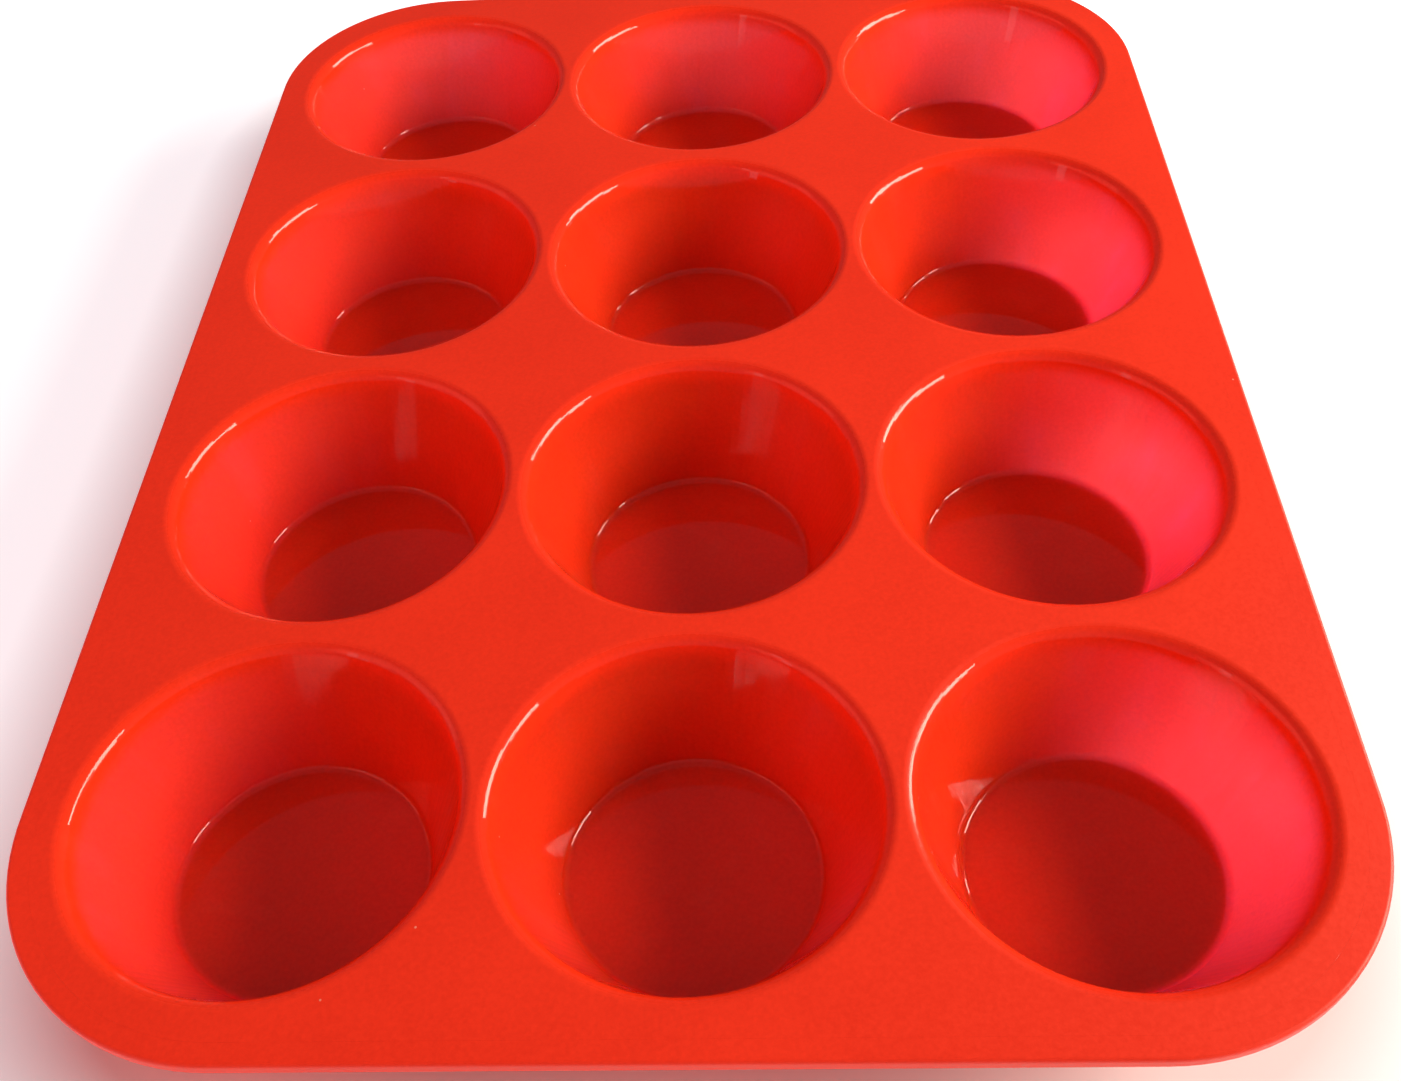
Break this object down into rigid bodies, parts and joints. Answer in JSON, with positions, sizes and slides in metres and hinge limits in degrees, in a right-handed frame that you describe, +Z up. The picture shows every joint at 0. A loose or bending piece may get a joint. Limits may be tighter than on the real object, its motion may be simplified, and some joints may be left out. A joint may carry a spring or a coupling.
{
  "type": "silicone muffin pan",
  "caption": "Flexible red silicone muffin pan: a flat rounded rectangular deck with a grid of tapered round cups.",
  "frame": {"origin": "middle of the pan's footprint, on the surface that the undersides of the cups stand on", "axes": "+Z up out of the cups' mouths, +X across the three columns, +Y along the four rows, away from row 1"},
  "size_m": [0.24, 0.325, 0.03],
  "materials": {
    "silicone": "satin"
  },
  "bodies": {
    "root": {"edge_band": "silicone", "deck": "silicone", "cup_row1_col1": "silicone", "cup_row1_col2": "silicone", "cup_row1_col3": "silicone", "cup_row2_col1": "silicone", "cup_row2_col2": "silicone", "cup_row2_col3": "silicone", "cup_row3_col1": "silicone", "cup_row3_col2": "silicone", "cup_row3_col3": "silicone", "cup_row4_col1": "silicone", "cup_row4_col2": "silicone", "cup_row4_col3": "silicone"}
  },
  "joints": []
}
